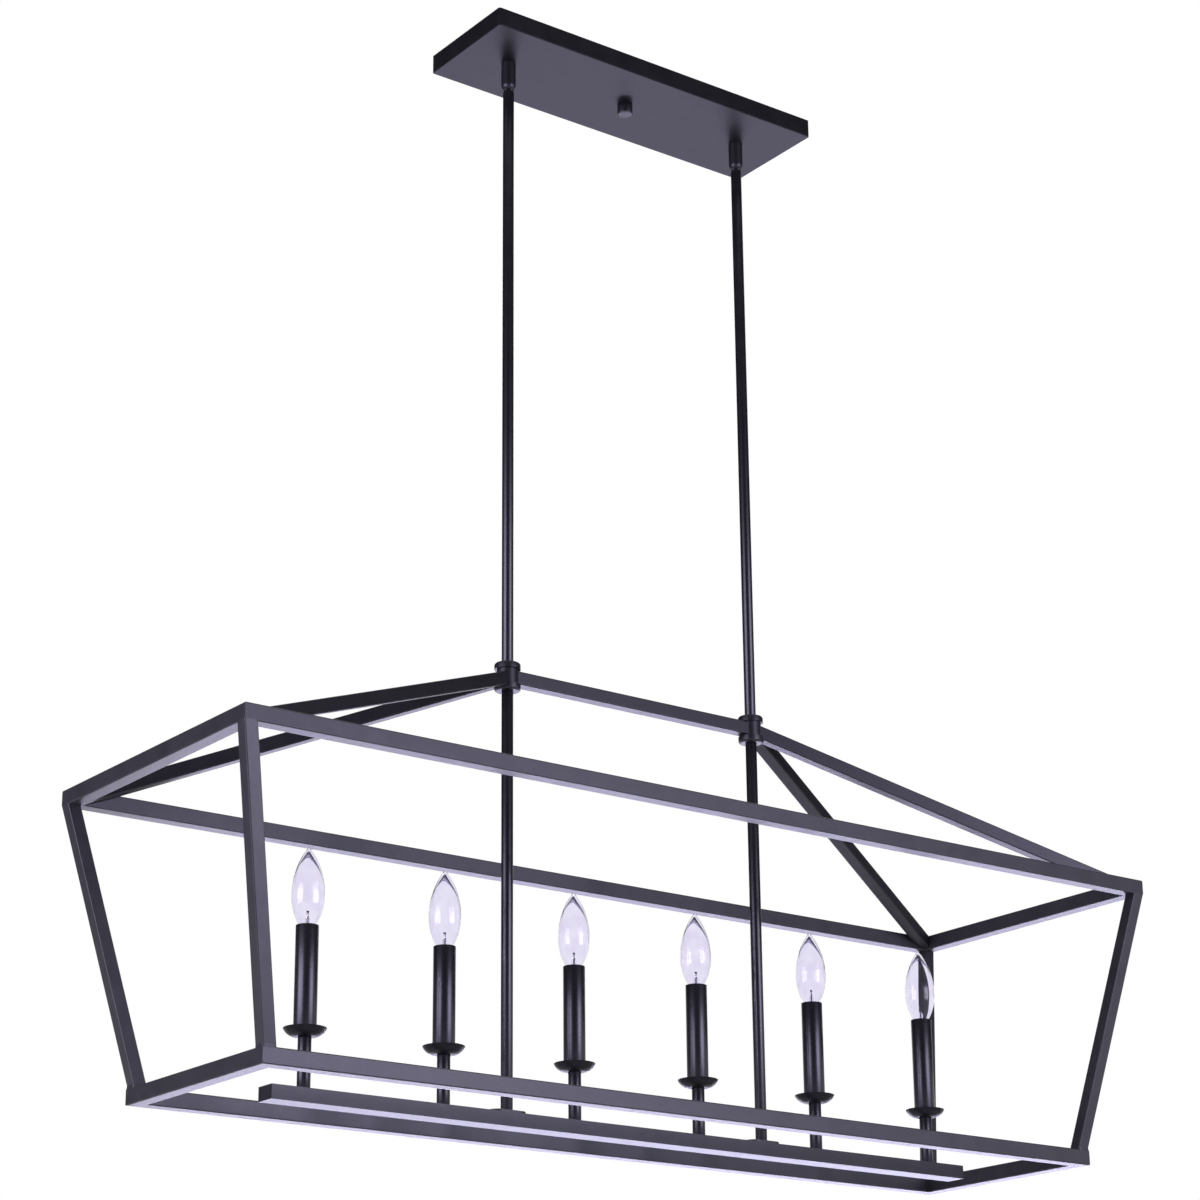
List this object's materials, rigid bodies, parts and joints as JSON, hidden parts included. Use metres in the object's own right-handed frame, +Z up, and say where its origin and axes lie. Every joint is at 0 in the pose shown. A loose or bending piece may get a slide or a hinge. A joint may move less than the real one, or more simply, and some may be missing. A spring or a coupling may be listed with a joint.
{
  "type": "linear island pendant light",
  "caption": "Linear island pendant: an open black cage lantern on two rods, with a row of candle-style lamps on a bar, hung from a flat canopy.",
  "frame": {"origin": "centre of the ceiling strap's top face, on the ceiling", "axes": "+Z up, out of the strap's face towards the ceiling; +X along the ridge bar; -Y towards the viewer of the front; the lantern hangs towards -Z"},
  "size_m": [1.13, 0.352, 1.19],
  "materials": {
    "satin_black": "satin black powder coat",
    "zinc_steel": "bright zinc plate",
    "socket_brass": "plain brass",
    "green_screw": "green passivated steel",
    "green_insulation": "green insulation",
    "black_insulation": "black insulation",
    "phenolic": "moulded black phenolic",
    "block_plastic": "natural nylon",
    "bulb_glass": "clear glass",
    "nickel_base": "nickel-plated brass"
  },
  "bodies": {
    "canopy": {"ceiling_strap": "zinc_steel", "canopy_pan": "satin_black", "canopy_nipples": "zinc_steel", "canopy_nuts": "zinc_steel", "finial": "satin_black", "ground_screw": "green_screw", "swivel_bodies": "satin_black", "terminal_block": "block_plastic", "supply_lead": "black_insulation", "ground_lead": "green_insulation"},
    "lantern": {"bar_cover": "satin_black", "bar_nuts": "zinc_steel", "candle_sleeves": "satin_black", "candle_stems": "satin_black", "cover_screws": "satin_black", "drip_cups": "satin_black", "hubs": "satin_black", "lantern_wiring": "black_insulation", "lower_rail_front": "satin_black", "lower_rail_left": "satin_black", "lower_rail_rear": "satin_black", "lower_rail_right": "satin_black", "lower_rod_left": "satin_black", "lower_rod_right": "satin_black", "post_front_left": "satin_black", "post_front_right": "satin_black", "post_rear_left": "satin_black", "post_rear_right": "satin_black", "rafter_front_left": "satin_black", "rafter_front_right": "satin_black", "rafter_rear_left": "satin_black", "rafter_rear_right": "satin_black", "ridge_bar": "satin_black", "rod_plates": "satin_black", "socket_bar": "satin_black", "socket_bodies": "phenolic", "socket_brackets": "zinc_steel", "socket_contacts": "socket_brass", "socket_shells": "socket_brass", "swivel_balls": "satin_black", "threaded_nipples": "zinc_steel", "upper_rail_front": "satin_black", "upper_rail_left": "satin_black", "upper_rail_rear": "satin_black", "upper_rail_right": "satin_black", "upper_rod_left": "satin_black", "upper_rod_right": "satin_black"},
    "bulb_1": {"bulb_1_glass": "bulb_glass", "bulb_1_base": "nickel_base"},
    "bulb_2": {"bulb_2_glass": "bulb_glass", "bulb_2_base": "nickel_base"},
    "bulb_3": {"bulb_3_glass": "bulb_glass", "bulb_3_base": "nickel_base"},
    "bulb_4": {"bulb_4_glass": "bulb_glass", "bulb_4_base": "nickel_base"},
    "bulb_5": {"bulb_5_glass": "bulb_glass", "bulb_5_base": "nickel_base"},
    "bulb_6": {"bulb_6_glass": "bulb_glass", "bulb_6_base": "nickel_base"}
  },
  "joints": [
    {"name": "canopy_swivel", "type": "hinge", "parent": "canopy", "child": "lantern", "pos_m": [0, 0, -0.047], "axis": [1, 0, 0], "range_deg": [-25, 25]},
    {"name": "bulb_1_unscrew", "type": "hinge", "parent": "lantern", "child": "bulb_1", "pos_m": [-0.39, 0, -1.02], "axis": [0, 0, 1], "range_deg": [0, 1260]},
    {"name": "bulb_2_unscrew", "type": "hinge", "parent": "lantern", "child": "bulb_2", "pos_m": [-0.234, 0, -1.02], "axis": [0, 0, 1], "range_deg": [0, 1260]},
    {"name": "bulb_3_unscrew", "type": "hinge", "parent": "lantern", "child": "bulb_3", "pos_m": [-0.078, 0, -1.02], "axis": [0, 0, 1], "range_deg": [0, 1260]},
    {"name": "bulb_4_unscrew", "type": "hinge", "parent": "lantern", "child": "bulb_4", "pos_m": [0.078, 0, -1.02], "axis": [0, 0, 1], "range_deg": [0, 1260]},
    {"name": "bulb_5_unscrew", "type": "hinge", "parent": "lantern", "child": "bulb_5", "pos_m": [0.234, 0, -1.02], "axis": [0, 0, 1], "range_deg": [0, 1260]},
    {"name": "bulb_6_unscrew", "type": "hinge", "parent": "lantern", "child": "bulb_6", "pos_m": [0.39, 0, -1.02], "axis": [0, 0, 1], "range_deg": [0, 1260]}
  ]
}
